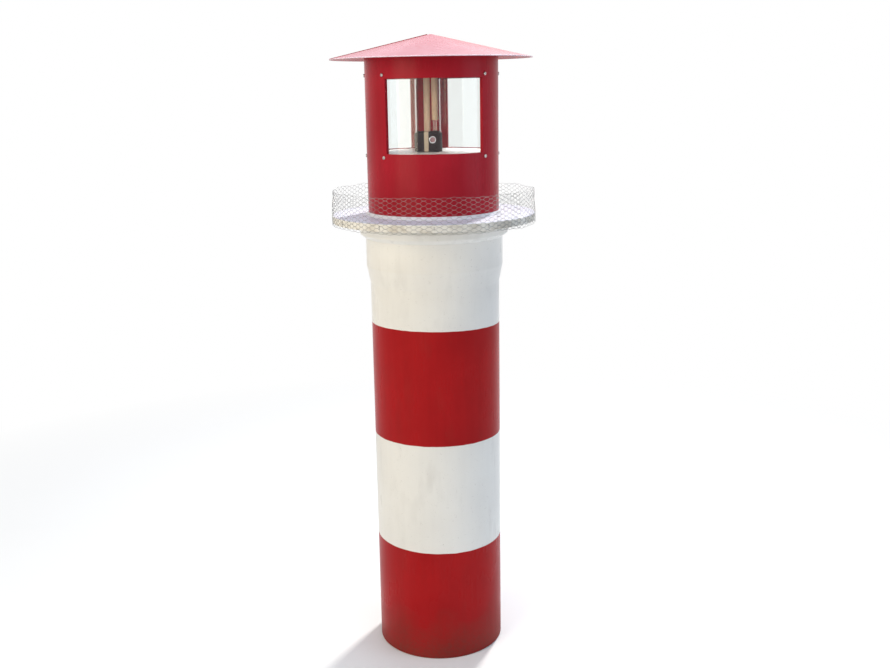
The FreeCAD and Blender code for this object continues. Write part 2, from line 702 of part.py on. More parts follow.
def lamp_button_ring():
    """The bright ring round the button."""
    high = BOSS_FACE_R + BUTTON_RING_THICKNESS
    body = radial_bar(BUTTON_RING_R, BOSS_FACE_R, high, BUTTON_HEIGHT)
    outer_edges = [edge for edge in body.Edges if edge.BoundBox.YMax < -high + 0.01]
    body = body.makeFillet(BUTTON_RING_ROUNDING, outer_edges)
    bore = radial_bar(BUTTON_RING_BORE_R, BOSS_FACE_R - 1, high + 1, BUTTON_HEIGHT)
    return on_lantern_floor(turned(body.cut(bore), BUTTON_AZIMUTH))


def lamp_switch():
    """The switch that the button presses."""
    half = SWITCH_SIDE / 2
    corner = Vector(-half, -SWITCH_FACE_R, BUTTON_HEIGHT - half)
    body = Part.makeBox(SWITCH_SIDE, SWITCH_DEPTH, SWITCH_SIDE, corner)
    return on_lantern_floor(turned(body, BUTTON_AZIMUTH))


def lamp_circuit_board():
    """The upright board that carries the switch, on the partition."""
    top = LAMP_TOP_Z - LAMP_PLATE_THICKNESS - CIRCUIT_TOP_GAP
    corner = Vector(-CIRCUIT_WIDTH / 2, -SWITCH_BACK_R, PARTITION_TOP_Z)
    board = Part.makeBox(CIRCUIT_WIDTH, CIRCUIT_THICKNESS, top - PARTITION_TOP_Z, corner)
    return on_lantern_floor(turned(board, BUTTON_AZIMUTH))


def lead_places():
    """Where the three leads of the short tube stand."""
    spread = (-LEAD_SPACING, 0.0, LEAD_SPACING)
    return [Vector(SHORT_TUBE_X + shift, SHORT_TUBE_Y, 0) for shift in spread]


def lamp_top_plate():
    """The lid of the lamp's base, with a raised seat that centres the glass."""
    plate = disc(LAMP_R, LAMP_TOP_Z - LAMP_PLATE_THICKNESS, LAMP_TOP_Z)
    seat = disc(SPIGOT_R, LAMP_TOP_Z, LAMP_TOP_Z + LAMP_SPIGOT_HEIGHT)
    cuts = []
    for place in lead_places():
        hole = disc(LEAD_R + FASTENER_FIT, LAMP_TOP_Z - LAMP_PLATE_THICKNESS - 1, GLASS_TOP_Z)
        cuts.append(hole.translated(place))
    return on_lantern_floor(plate.fuse(seat).cut(Part.makeCompound(cuts)))


def lamp_glass():
    """The clear cylinder round the light tubes."""
    return on_lantern_floor(ring(GLASS_R - GLASS_WALL, GLASS_R, LAMP_TOP_Z, GLASS_TOP_Z))


def light_tube(x, y, low, high):
    """A frosted tube, closed by nothing: the plates above and below do that."""
    outer = disc(TUBE_R, low, high)
    inner = disc(TUBE_R - TUBE_WALL, low - 1, high + 1)
    return on_lantern_floor(outer.cut(inner).translated(Vector(x, y, 0)))


def tall_tube_span():
    """The heights between which the tall tube stands."""
    return LAMP_TOP_Z + LAMP_SPIGOT_HEIGHT, GLASS_TOP_Z - LAMP_SPIGOT_HEIGHT


def lamp_tube_tall():
    """The light tube that runs from plate to cap."""
    low, high = tall_tube_span()
    return light_tube(TALL_TUBE_X, TALL_TUBE_Y, low, high)


def lamp_tube_short():
    """The light tube that stands on three leads."""
    return light_tube(SHORT_TUBE_X, SHORT_TUBE_Y, SHORT_TUBE_LOW_Z, SHORT_TUBE_TOP_Z)


def led_strip(x, y, low, high):
    """The strip of light-emitting diodes inside a tube."""
    corner = Vector(x - LED_STRIP_WIDTH / 2, y - LED_STRIP_THICKNESS / 2, low + LED_STRIP_END_GAP)
    height = high - low - 2 * LED_STRIP_END_GAP
    return Part.makeBox(LED_STRIP_WIDTH, LED_STRIP_THICKNESS, height, corner)


def lamp_led_strips():
    """One strip in each tube."""
    low, high = tall_tube_span()
    tall = led_strip(TALL_TUBE_X, TALL_TUBE_Y, low, high)
    lead_top = SHORT_TUBE_LOW_Z + LED_STRIP_END_GAP
    short = led_strip(SHORT_TUBE_X, SHORT_TUBE_Y, lead_top, SHORT_TUBE_TOP_Z)
    return on_lantern_floor(Part.makeCompound([tall, short]))


def lamp_leads():
    """Three stiff wires that carry the short tube's strip."""
    low = LAMP_TOP_Z - LAMP_PLATE_THICKNESS
    wires = []
    for place in lead_places():
        high = SHORT_TUBE_LOW_Z + LED_STRIP_END_GAP
        wires.append(disc(LEAD_R, low, high).translated(place))
    return on_lantern_floor(Part.makeCompound(wires))


def lamp_top_cap():
    """The lamp's cap, with a spigot in the glass and a stub over the short tube."""
    cap = disc(LAMP_R, GLASS_TOP_Z, GLASS_TOP_Z + CAP_HEIGHT)
    spigot = disc(SPIGOT_R, GLASS_TOP_Z - LAMP_SPIGOT_HEIGHT, GLASS_TOP_Z)
    stub_place = Vector(SHORT_TUBE_X, SHORT_TUBE_Y, 0)
    stub = disc(TUBE_R, SHORT_TUBE_TOP_Z, GLASS_TOP_Z - LAMP_SPIGOT_HEIGHT).translated(stub_place)
    return on_lantern_floor(cap.multiFuse([spigot, stub]))


def all_pieces():
    """Every node's name and shape."""
    pieces = {
        "tower_pipe": tower_pipe(),
        "socket_seal_ring": socket_seal_ring(),
        "gallery_board": gallery_board(),
        "railing_netting": railing_netting(),
        "netting_staples": netting_staples(),
        "lantern_pipe": lantern_pipe(),
        "lantern_foot_bead": lantern_foot_bead(),
        "pane_screws": pane_screws(),
        "pane_washers": pane_washers(),
        "pane_nuts": pane_nuts(),
        "lantern_floor": lantern_floor(),
        "roof_cone": roof_cone(),
        "roof_brackets": roof_brackets(),
        "lamp_base": lamp_base(),
        "lamp_battery_cover": lamp_battery_cover(),
        "lamp_cover_screws": lamp_cover_screws(),
        "lamp_feet": lamp_feet(),
        "lamp_batteries": lamp_batteries(),
        "lamp_battery_contacts": lamp_battery_contacts(),
        "lamp_button": lamp_button(),
        "lamp_button_ring": lamp_button_ring(),
        "lamp_switch": lamp_switch(),
        "lamp_circuit_board": lamp_circuit_board(),
        "lamp_top_plate": lamp_top_plate(),
        "lamp_glass": lamp_glass(),
        "lamp_tube_tall": lamp_tube_tall(),
        "lamp_tube_short": lamp_tube_short(),
        "lamp_led_strips": lamp_led_strips(),
        "lamp_leads": lamp_leads(),
        "lamp_top_cap": lamp_top_cap(),
    }
    for name, azimuth, half_angle in windows():
        pieces["window_pane_" + name] = window_pane(azimuth, half_angle)
    return pieces


os.makedirs("parts", exist_ok=True)
for node, shape in all_pieces().items():
    valid = "valid" if shape.isValid() else "NOT VALID"
    print(f"{node}: {len(shape.Solids)} solids, {shape.Volume / 1000:.1f} cm3, {valid}")
    shape.exportStep(f"parts/{node}.step")
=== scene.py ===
import json
import math
from collections import namedtuple
from functools import partial

import bmesh
import bpy
from mathutils import Matrix, Vector, noise


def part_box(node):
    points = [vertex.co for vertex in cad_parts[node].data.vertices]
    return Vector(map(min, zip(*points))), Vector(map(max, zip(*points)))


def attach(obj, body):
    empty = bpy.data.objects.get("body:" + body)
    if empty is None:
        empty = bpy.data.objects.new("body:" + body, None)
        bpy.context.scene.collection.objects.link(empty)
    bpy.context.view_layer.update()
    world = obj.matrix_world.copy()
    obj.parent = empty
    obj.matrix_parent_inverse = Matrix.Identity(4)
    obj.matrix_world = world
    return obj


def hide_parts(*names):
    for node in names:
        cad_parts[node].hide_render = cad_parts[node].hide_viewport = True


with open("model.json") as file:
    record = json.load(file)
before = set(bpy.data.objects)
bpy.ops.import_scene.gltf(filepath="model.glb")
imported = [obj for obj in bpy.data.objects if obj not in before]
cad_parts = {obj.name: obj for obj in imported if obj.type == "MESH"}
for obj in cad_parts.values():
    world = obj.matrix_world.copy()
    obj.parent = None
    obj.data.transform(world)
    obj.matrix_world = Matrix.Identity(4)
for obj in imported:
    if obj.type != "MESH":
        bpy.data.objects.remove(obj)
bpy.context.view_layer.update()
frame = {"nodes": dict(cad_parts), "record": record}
nodes = frame["nodes"]

MM = 0.001

# Photograph: its width in pixels, and the camera that it was taken with
PHOTO_WIDTH = 890
SENSOR_WIDTH_MM = 36.0
FOCAL_PIXELS = 1075.8
CAMERA_PLACE = Vector((0.0, -2.608, 1.402))
CAMERA_DOWN = math.radians(12.98)
CAMERA_TO_RIGHT = math.radians(0.49)
CAMERA_ROLL = math.radians(-0.93)

# Lights: place, height aimed at, width and height, power in watts and colour
LIGHTS = {
    "sun": ((0.97, 2.04, 3.37), 1.1, (0.30, 0.30), 112.0, (1.0, 0.97, 0.92)),
    "key": ((-1.95, -1.95, 1.8), 1.0, (2.0, 2.2), 57.0, (1.0, 0.87, 0.66)),
    "fill": ((2.6, -0.9, 1.8), 1.0, (1.7, 2.2), 25.0, (0.80, 0.88, 1.0)),
    "sky": ((0.2, 2.7, 3.1), 1.4, (3.4, 1.5), 35.0, (0.82, 0.88, 1.0)),
    "top": ((0.0, -0.6, 4.0), 1.0, (2.5, 2.5), 52.0, (0.60, 0.78, 1.0)),
}
AMBIENT_COLOUR = (0.82, 0.90, 1.0)
AMBIENT_STRENGTH = 0.21
WHITE = (1.0, 1.0, 1.0)

# Floor that stands for the ground, and how far out it fades to white
FLOOR_HALF = 30.0
FLOOR_FADE_NEAR = 0.9
FLOOR_FADE_FAR = 2.6
FLOOR_ROUGHNESS = 0.8
FLOOR_PALE = (0.86, 0.86, 0.86)
FLOOR_DULL = (0.83, 0.83, 0.83)

# Fine netting: its cells are stretched along the board's edge, and its upper edge leans inwards
NET_COLUMNS = 136
NET_LEVEL_STEP = 5.2 * MM
NET_LOWEST = 0.9 * MM
NET_WIRE_R = 0.29 * MM
NET_SIDES = 5
NET_TWIST_SHARE = 0.46
NET_TWIST_TURNS = 1.5
NET_TWIST_POINTS = 7
NET_STANDOFF = 0.9 * MM
NET_LEAN = 3.5 * MM
NET_SAG = 5.0 * MM
NET_SAG_AZIMUTH = math.radians(130.0)
# How far an edge wire reaches past its last twists, in levels
NET_EDGE_REACH = 0.3
NET_SEED = 3.0

# Slow waves of the netting: how far they push it, the clearance that keeps it off the board,
# and how fast they change round it and up it
WANDER_UP = 1.7 * MM
WANDER_OUT = 0.6 * MM
WANDER_CLEARANCE = 0.3 * MM
WANDER_ROUND = 6.0
WANDER_RISE = 40.0
WANDER_OUT_SEED = 9.0
EDGE_WAVE = 3.2 * MM
EDGE_WAVE_ROUND = 3.5
EDGE_WAVE_SEED = 4.0

# Where the netting's end laps over its start
OVERLAP_START = math.radians(36.0)
OVERLAP_END = math.radians(56.0)
OVERLAP_STANDOFF = 1.6 * MM
OVERLAP_LIFT = 0.5 * MM
OVERLAP_SEED = 21.0

# Cut wire ends at the overlap: each curls away by its own size and tilt, which depend on its height
HOOK_POINTS = 6
HOOK_SIZE = 2.6 * MM
HOOK_SIZE_SPREAD = 0.8
HOOK_SIZE_RISE = 300.0
HOOK_SIZE_SEED = 0.5
HOOK_TURN = 1.1 * math.pi
HOOK_TILT = 0.12
HOOK_TILT_RISE = 900.0

# Pale strip on the lamp's drum
STRIP_STEPS = 8
STRIP_THICKNESS = 1.0 * MM
STRIP_LIFT = 0.05 * MM
STRIP_ROUNDING = 0.35 * MM
STRIP_BESIDE_RING = 1.2 * MM
STRIP_ABOVE_FOOT = 0.4 * MM

# Paint bands of the tower: each edge's height on the axis and its rise towards +X and +Y
BAND_EDGES = ((0.2859, 0.0206, -0.0170), (0.5575, 0.0057, 0.0114), (0.8376, 0.0156, 0.0273))
BAND_EDGE_WAVE = 0.4 * MM
BAND_EDGE_SOFT = 0.5 * MM

# Gloss paint: the specular level, the depth of its brush marks and how much of it shows
PAINT_GLOSS = 0.07
BRUSH_DEPTH = 0.12 * MM
BRUSH_STRENGTH = 0.6

# Darkening of the tower's foot: a film of uneven height, partly soil and partly painted shade, and
# grains of soil
SOIL_AND_SHADE_FILM_LOW = 0.06
SOIL_AND_SHADE_FILM_HIGH = 0.17
SOIL_GRAINS_REACH = 0.12

# Roof: it pales from a share of its radius outwards, partly faded paint and partly painted sky
# reflection, and the edge of its eave carries a pale painted highlight
ROOF_FADE_AND_SHEEN_START = 0.3
ROOF_FADE_AND_SHEEN = 0.09
ROOF_BRUSH_STRENGTH = 0.04
EAVE_HIGHLIGHT_WIDTH = 5.0 * MM
EAVE_RAGGED = 1.5 * MM

# Board: how far below its top the rim's colour starts and is full
RIM_COLOUR_START = 0.8 * MM
RIM_COLOUR_FULL = 1.6 * MM

# Diodes on the lamp's strips
DIODE_PITCH = 8.0 * MM

# Specks: the waves of their clusters for each cell, and how softly a speck ends, in cells
SPECK_CLUSTERS = 0.35
SPECK_EDGE = 0.06

# Colours: red, green and blue, linear
RED_PAINT = (0.380, 0.010, 0.012)
RED_PAINT_DEEP = (0.310, 0.008, 0.010)
WHITE_PAINT = (0.800, 0.795, 0.770)
WHITE_PAINT_DULL = (0.745, 0.740, 0.720)
LANTERN_RED = (0.385, 0.015, 0.028)
LANTERN_RED_DEEP = (0.310, 0.011, 0.020)
ROOF_RED = (0.400, 0.014, 0.028)
ROOF_RED_DEEP = (0.360, 0.012, 0.022)
# Pale lilac pink on the roof's top: partly faded paint, partly painted sky reflection and the eave's
# painted highlight
ROOF_BLOOM_AND_SHEEN = (0.82, 0.74, 0.84)
# Dark brown of dirt; at the tower's foot it also serves as painted shade
DIRT_AND_SHADE_BROWN = (0.085, 0.055, 0.040)
# The board's top white is tinted blue: painted skylight shade
BOARD_WHITE_SHADE_TINTED = (0.78, 0.80, 0.88)
BOARD_WHITE_DULL_SHADE_TINTED = (0.72, 0.74, 0.83)
RIM_WHITE = (0.84, 0.82, 0.77)
# Darker patches on the board's rim
RIM_DARKER_PATCH = (0.66, 0.62, 0.55)
BOARD_DIRT = (0.34, 0.32, 0.28)
# Sealant white, darkened and tinted blue-grey: painted shade
SEALANT_WHITE_SHADE_TINTED = (0.74, 0.74, 0.79)
SEALANT_DUST = (0.45, 0.43, 0.40)
ZINC_DARK = (0.16, 0.165, 0.17)
ZINC_PALE = (0.36, 0.36, 0.35)
RUST = (0.22, 0.13, 0.08)
PANE_TINT = (0.93, 0.95, 0.94)
PANE_DUST = (0.72, 0.70, 0.66)
FLOOR_DISC_WHITE = (0.84, 0.84, 0.85)
FLOOR_DISC_DUST = (0.52, 0.50, 0.47)
STAPLE_STEEL = (0.32, 0.31, 0.30)
SCREW_STEEL = (0.46, 0.45, 0.44)
CONTACT_METAL = (0.70, 0.68, 0.62)
CHROME = (0.88, 0.88, 0.90)
LAMP_TINT = (0.90, 0.88, 0.88)
LAMP_BLACK = (0.020, 0.010, 0.014)
BUTTON_PINK = (0.30, 0.16, 0.18)
SWITCH_BLACK = (0.03, 0.03, 0.03)
CELL_GREY = (0.09, 0.09, 0.10)
TUBE_CREAM = (0.90, 0.67, 0.48)
STRIP_CREAM = (0.45, 0.37, 0.27)
RUBBER_BLACK = (0.018, 0.018, 0.018)
RUBBER_BLOOM = (0.07, 0.07, 0.068)
TRACK_GREEN = (0.10, 0.30, 0.13)
LAMINATE_GREEN = (0.02, 0.14, 0.05)
LED_STRIP_WHITE = (0.72, 0.70, 0.64)
LED_STRIP_STAIN = (0.4, 0.36, 0.28)
DIODE_YELLOW = (0.75, 0.52, 0.10)

# The range that nearly all of a noise stays in
NOISE_LOW = 0.3
NOISE_HIGH = 0.7

# The colour sockets of Blender's Mix node
MIX_FACTOR = 0
MIX_FIRST = 6
MIX_SECOND = 7
MIX_RESULT = 2


# ---- Shaders ----------------------------------------------------------------


def rgba(colour):
    """A colour with its alpha. A socket stays as it is."""
    return colour if isinstance(colour, bpy.types.NodeSocket) else (*colour, 1.0)


class Nodes:
    """A node tree, with short ways to add what it needs."""

    def __init__(self, tree):
        self.tree = tree
        self.tree.nodes.clear()

    def add(self, kind, inputs=None, **settings):
        """A node with its settings, its inputs set to numbers or linked to sockets."""
        node = self.tree.nodes.new(kind)
        for key, value in settings.items():
            setattr(node, key, value)
        for key, value in (inputs or {}).items():
            if isinstance(value, bpy.types.NodeSocket):
                self.tree.links.new(value, node.inputs[key])
            else:
                node.inputs[key].default_value = value
        return node

    def math(self, operation, first, second=0.0):
        """One sum on two numbers."""
        return self.add("ShaderNodeMath", {0: first, 1: second}, operation=operation).outputs[0]

    def mix_shaders(self, factor, first, second):
        """Two shaders mixed."""
        return self.add("ShaderNodeMixShader", {0: factor, 1: first, 2: second}).outputs[0]

    def sees_background(self):
        """1 for a ray that looks at the background: straight, by reflection or through a pane."""
        rays = self.add("ShaderNodeLightPath").outputs
        straight = self.math("MAXIMUM", rays["Is Camera Ray"], rays["Is Transmission Ray"])
        return self.math("MAXIMUM", straight, rays["Is Glossy Ray"])


class Shader(Nodes):
    """One material's nodes. Its patterns lie in object coordinates, in metres."""

    def __init__(self, name):
        self.material = bpy.data.materials.new(name)
        self.material.use_nodes = True
        super().__init__(self.material.node_tree)
        self.output = self.add("ShaderNodeOutputMaterial")
        coordinates = self.add("ShaderNodeTexCoord").outputs
        self.place = coordinates["Object"]
        self.facing = coordinates["Normal"]

    def stretched(self, scale):
        """Object coordinates, stretched along each axis."""
        return self.add("ShaderNodeMapping", {"Vector": self.place, "Scale": scale}).outputs[0]

    def noise(self, scale, detail, stretch=(1, 1, 1), roughness=0.5):
        """A noise from 0 to 1, scale in waves per metre."""
        inputs = {
            "Vector": self.stretched(stretch),
            "Scale": scale,
            "Detail": detail,
            "Roughness": roughness,
        }
        return self.add("ShaderNodeTexNoise", inputs).outputs["Fac"]

    def cells(self, scale, feature="F1"):
        """Distances in a field of cells, scale in cells per metre."""
        inputs = {"Vector": self.place, "Scale": scale}
        return self.add("ShaderNodeTexVoronoi", inputs, feature=feature).outputs["Distance"]

    def axes(self, vector):
        """A vector as three numbers."""
        return self.add("ShaderNodeSeparateXYZ", {"Vector": vector}).outputs

    def length(self, vector):
        """A vector's length."""
        return self.add("ShaderNodeVectorMath", {0: vector}, operation="LENGTH").outputs["Value"]

    def fit(self, value, low, high, to_low=0.0, to_high=1.0):
        """The value between two limits, spread over two others."""
        inputs = {
            "Value": value,
            "From Min": low,
            "From Max": high,
            "To Min": to_low,
            "To Max": to_high,
        }
        return self.add("ShaderNodeMapRange", inputs).outputs[0]

    def spread(self, value, low, high):
        """A noise spread between two levels."""
        return self.fit(value, NOISE_LOW, NOISE_HIGH, low, high)

    def patches(self, scale, detail, start, full, share=1.0, stretch=(1, 1, 1)):
        """Patches where a noise is over its start: 0 outside, and the share where it is full."""
        return self.fit(self.noise(scale, detail, stretch), start, full, 0.0, share)

    def specks(self, scale, size, share):
        """Small scattered spots in clusters: the share inside a spot, 0 outside."""
        reach = self.patches(scale * SPECK_CLUSTERS, 1.0, 0.45, 0.75, size)
        inside = self.fit(self.math("SUBTRACT", reach, self.cells(scale)), 0.0, SPECK_EDGE)
        return self.math("MULTIPLY", inside, share)

    def weigh(self, first, first_weight, second, second_weight):
        """Two numbers added up, each times its weight."""
        first_part = self.math("MULTIPLY", first, first_weight)
        return self.math("ADD", first_part, self.math("MULTIPLY", second, second_weight))

    def mix(self, factor, first, second):
        """Two colours mixed."""
        inputs = {MIX_FACTOR: factor, MIX_FIRST: rgba(first), MIX_SECOND: rgba(second)}
        return self.add("ShaderNodeMix", inputs, data_type="RGBA").outputs[MIX_RESULT]

    def bump(self, height, distance, strength):
        """A bump from a height of 0 to 1, its depth in metres."""
        inputs = {"Height": height, "Distance": distance, "Strength": strength}
        return self.add("ShaderNodeBump", inputs).outputs[0]

    def show(self, surface):
        """Puts a shader on the material."""
        self.tree.links.new(surface, self.output.inputs["Surface"])

    def finish(self, colour, roughness, normal=None, **inputs):
        """The surface itself. Other inputs are the shader's own, as plain numbers."""
        sockets = {"Base Color": rgba(colour), "Roughness": roughness}
        if normal is not None:
            sockets["Normal"] = normal
        for key, value in inputs.items():
            sockets[key.replace("_", " ")] = value
        surface = self.add("ShaderNodeBsdfPrincipled", sockets).outputs[0]
        self.show(surface)
        return surface

    def let_light_through(self, surface, tint):
        """Shadow rays pass a clear piece, so what is behind it stays lit."""
        is_shadow = self.add("ShaderNodeLightPath").outputs["Is Shadow Ray"]
        clear = self.add("ShaderNodeBsdfTransparent", {"Color": rgba(tint)}).outputs[0]
        self.show(self.mix_shaders(is_shadow, surface, clear))


def brushed(shader):
    """Brushed gloss paint: where it is deeper in colour, its roughness and its brush marks."""
    streaks = shader.noise(70.0, 3.0, (1.0, 1.0, 0.05))
    uneven = shader.weigh(shader.noise(6.0, 3.0), 0.75, streaks, 0.25)
    deeper = shader.fit(uneven, 0.40, 0.68)
    roughness = shader.fit(uneven, 0.35, 0.65, 0.24, 0.33)
    marks = shader.weigh(streaks, 0.45, shader.noise(420.0, 2.0), 0.2)
    return deeper, roughness, marks


def above_edge(shader, axes, wave, edge):
    """1 where a point of the tower lies above one edge of its paint bands, 0 below."""
    height, rise_x, rise_y = edge
    tilt = shader.weigh(axes[0], rise_x, axes[1], rise_y)
    level = shader.math("ADD", shader.math("ADD", axes[2], wave), tilt)
    return shader.fit(level, height - BAND_EDGE_SOFT, height + BAND_EDGE_SOFT)


def foot_soil_and_shade(shader, height):
    """Darkening near the ground: a thin film, partly soil and partly painted shade, grains of soil in
    it, and a few specks further up.
    """
    # The film darkens towards the ground: partly soil stain, partly painted shade
    film_top = shader.spread(shader.noise(13.0, 3.0), SOIL_AND_SHADE_FILM_LOW, SOIL_AND_SHADE_FILM_HIGH)
    film = shader.math("SUBTRACT", 1.0, shader.math("DIVIDE", height, film_top))
    film_share = shader.spread(shader.noise(130.0, 6.0), 0.25, 0.6)
    film = shader.math("MULTIPLY", shader.fit(film, 0.0, 1.0), film_share)
    grains_share = shader.fit(height, 0.0, SOIL_GRAINS_REACH, 0.85, 0.0)
    grains = shader.math("MULTIPLY", grains_share, shader.patches(420.0, 4.0, 0.56, 0.64))
    soil_and_shade = shader.math("MAXIMUM", film, grains)
    return shader.math("MAXIMUM", soil_and_shade, shader.specks(330.0, 0.30, 0.35))


def tower_paint(name):
    """White and red gloss bands on the pipe, darkened near the ground by soil and painted shade."""
    shader = Shader(name)
    axes = shader.axes(shader.place)
    wave = shader.spread(shader.noise(38.0, 3.0), -BAND_EDGE_WAVE, BAND_EDGE_WAVE)
    above = [above_edge(shader, axes, wave, edge) for edge in BAND_EDGES]
    is_red = shader.math("SUBTRACT", 1.0, shader.math("SUBTRACT", above[0], above[1]))
    is_red = shader.math("SUBTRACT", is_red, above[2])
    deeper, roughness, marks = brushed(shader)
    red = shader.mix(deeper, RED_PAINT, RED_PAINT_DEEP)
    white = shader.mix(deeper, WHITE_PAINT, WHITE_PAINT_DULL)
    colour = shader.mix(is_red, white, red)
    grime = shader.patches(26.0, 5.0, 0.55, 0.85, 0.12, (1.0, 1.0, 0.3))
    colour = shader.mix(grime, colour, DIRT_AND_SHADE_BROWN)
    soil_and_shade = foot_soil_and_shade(shader, axes[2])
    colour = shader.mix(soil_and_shade, colour, DIRT_AND_SHADE_BROWN)
    roughness = shader.math("ADD", roughness, shader.math("MULTIPLY", soil_and_shade, 0.4))
    relief = shader.math("ADD", marks, shader.math("MULTIPLY", is_red, 0.5))
    normal = shader.bump(relief, BRUSH_DEPTH, BRUSH_STRENGTH)
    shader.finish(colour, roughness, normal, Specular_IOR_Level=PAINT_GLOSS)
    return shader.material


def red_paint(name):
    """Red gloss paint on pipe or sheet, dusty here and there."""
    shader = Shader(name)
    deeper, roughness, marks = brushed(shader)
    colour = shader.mix(deeper, LANTERN_RED, LANTERN_RED_DEEP)
    dust = shader.patches(30.0, 5.0, 0.55, 0.85, 0.08)
    dirt = shader.math("MAXIMUM", dust, shader.specks(300.0, 0.28, 0.3))
    colour = shader.mix(dirt, colour, DIRT_AND_SHADE_BROWN)
    normal = shader.bump(marks, BRUSH_DEPTH, BRUSH_STRENGTH)
    shader.finish(colour, roughness, normal, Specular_IOR_Level=PAINT_GLOSS)
    return shader.material


def roof_paint(name):
    """Red gloss paint on sheet: outside it pales towards the eave, partly faded and partly painted
    sky reflection, and the edge of its eave has a pale painted highlight.
    """
    shader = Shader(name)
    deeper, roughness, marks = brushed(shader)
    colour = shader.mix(deeper, ROOF_RED, ROOF_RED_DEEP)
    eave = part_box("roof_cone")[1].x
    out = shader.length(shader.stretched((1, 1, 0)))
    # Paler outwards and in patches: partly faded paint, partly painted sky reflection
    fade_and_sheen = shader.fit(out, ROOF_FADE_AND_SHEEN_START * eave, eave, 0.0, ROOF_FADE_AND_SHEEN)
    fade_and_sheen = shader.math("ADD", fade_and_sheen, shader.patches(55.0, 5.0, 0.60, 0.72, 0.08, (1.0, 1.0, 0.4)))
    ragged = shader.spread(shader.noise(90.0, 4.0), -EAVE_RAGGED, EAVE_RAGGED)
    to_eave = shader.math("SUBTRACT", out, ragged)
    # A pale painted highlight along the eave's edge
    eave_highlight = shader.fit(to_eave, eave - EAVE_HIGHLIGHT_WIDTH, eave - EAVE_HIGHLIGHT_WIDTH / 2, 0.0, 0.65)
    is_outside = shader.fit(shader.axes(shader.facing)[2], -0.3, -0.1)
    pale = shader.math("MULTIPLY", shader.math("MAXIMUM", fade_and_sheen, eave_highlight), is_outside)
    colour = shader.mix(pale, colour, ROOF_BLOOM_AND_SHEEN)
    normal = shader.bump(marks, BRUSH_DEPTH, ROOF_BRUSH_STRENGTH)
    shader.finish(colour, roughness, normal, Specular_IOR_Level=PAINT_GLOSS)
    return shader.material


def board_paint(name):
    """White gloss paint on a wooden board, its top tinted blue as painted shade: its grain tells
    through, and its rim has darker patches.
    """
    shader = Shader(name)
    board_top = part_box("gallery_board")[1].z
    grain = shader.noise(34.0, 4.0, (1.0, 9.0, 9.0), 0.6)
    # The top's white carries a blue tint of painted shade
    upper = shader.mix(shader.noise(6.0, 3.0), BOARD_WHITE_SHADE_TINTED, BOARD_WHITE_DULL_SHADE_TINTED)
    rim = shader.mix(shader.patches(24.0, 5.0, 0.50, 0.64), RIM_WHITE, RIM_DARKER_PATCH)
    height = shader.axes(shader.place)[2]
    is_rim = shader.fit(height, board_top - RIM_COLOUR_FULL, board_top - RIM_COLOUR_START, 1.0, 0.0)
    colour = shader.mix(is_rim, upper, rim)
    dirt = shader.patches(45.0, 6.0, 0.52, 0.78, 0.18)
    dirt = shader.math("MAXIMUM", dirt, shader.specks(240.0, 0.34, 0.5))
    colour = shader.mix(dirt, colour, BOARD_DIRT)
    roughness = shader.spread(grain, 0.35, 0.5)
    normal = shader.bump(grain, 0.3 * MM, 0.6)
    shader.finish(colour, roughness, normal, Specular_IOR_Level=PAINT_GLOSS)
    return shader.material


def sealant(name):
    """White sealant, smoothed with a finger and tinted blue-grey as painted shade: faint ripples and
    patches of dust.
    """
    shader = Shader(name)
    ripples = shader.noise(130.0, 3.0)
    dust = shader.patches(60.0, 5.0, 0.48, 0.75, 0.25)
    colour = shader.mix(dust, SEALANT_WHITE_SHADE_TINTED, SEALANT_DUST)
    normal = shader.bump(ripples, 0.5 * MM, 0.6)
    shader.finish(colour, shader.spread(ripples, 0.35, 0.5), normal)
    return shader.material


def galvanised(name):
    """Weathered zinc on thin wire, rusty here and there."""
    shader = Shader(name)
    bloom = shader.noise(90.0, 4.0)
    colour = shader.mix(shader.fit(bloom, 0.35, 0.65), ZINC_DARK, ZINC_PALE)
    rust = shader.patches(33.0, 4.0, 0.60, 0.78, 0.55)
    colour = shader.mix(rust, colour, RUST)
    normal = shader.bump(shader.noise(900.0, 2.0), 0.08 * MM, 0.6)
    shader.finish(colour, shader.spread(bloom, 0.38, 0.62), normal, Metallic=0.8)
    return shader.material


def bright_steel(name, colour, low, high):
    """Turned or rolled steel with fine lines and a little tarnish, its roughness from low to high."""
    shader = Shader(name)
    lines = shader.noise(1400.0, 2.0, (1.0, 1.0, 0.2))
    tarnish = shader.patches(210.0, 4.0, 0.45, 0.72, 0.45)
    dull = tuple(0.55 * part for part in colour)
    mixed = shader.mix(tarnish, colour, dull)
    normal = shader.bump(lines, 0.04 * MM, 0.5)
    shader.finish(mixed, shader.spread(lines, low, high), normal, Metallic=1.0)
    return shader.material


def clear_sheet(name, tint, bend, dust_share):
    """Clear plastic or glass with dust and faint scratches."""
    shader = Shader(name)
    scratches = shader.noise(240.0, 3.0, (1.0, 1.0, 0.05))
    dust = shader.patches(70.0, 6.0, 0.48, 0.80, dust_share)
    colour = shader.mix(dust, tint, PANE_DUST)
    roughness = shader.fit(scratches, 0.35, 0.75, 0.015, 0.08)
    normal = shader.bump(shader.noise(9.0, 2.0), 0.9 * MM, 0.35)
    surface = shader.finish(colour, roughness, normal, Transmission_Weight=1.0, IOR=bend)
    shader.let_light_through(surface, tint)
    return shader.material


def moulded(name, colour, low=0.35, high=0.5, gloss=0.5):
    """Moulded plastic with a fine grain, scuffed lighter here and there."""
    shader = Shader(name)
    grain = shader.noise(1500.0, 3.0)
    scuffs = shader.patches(120.0, 5.0, 0.52, 0.78, 0.4)
    lighter = tuple(min(1.0, part * 1.5 + 0.04) for part in colour)
    mixed = shader.mix(scuffs, colour, lighter)
    normal = shader.bump(grain, 0.06 * MM, 0.6)
    shader.finish(mixed, shader.spread(grain, low, high), normal, Specular_IOR_Level=gloss)
    return shader.material


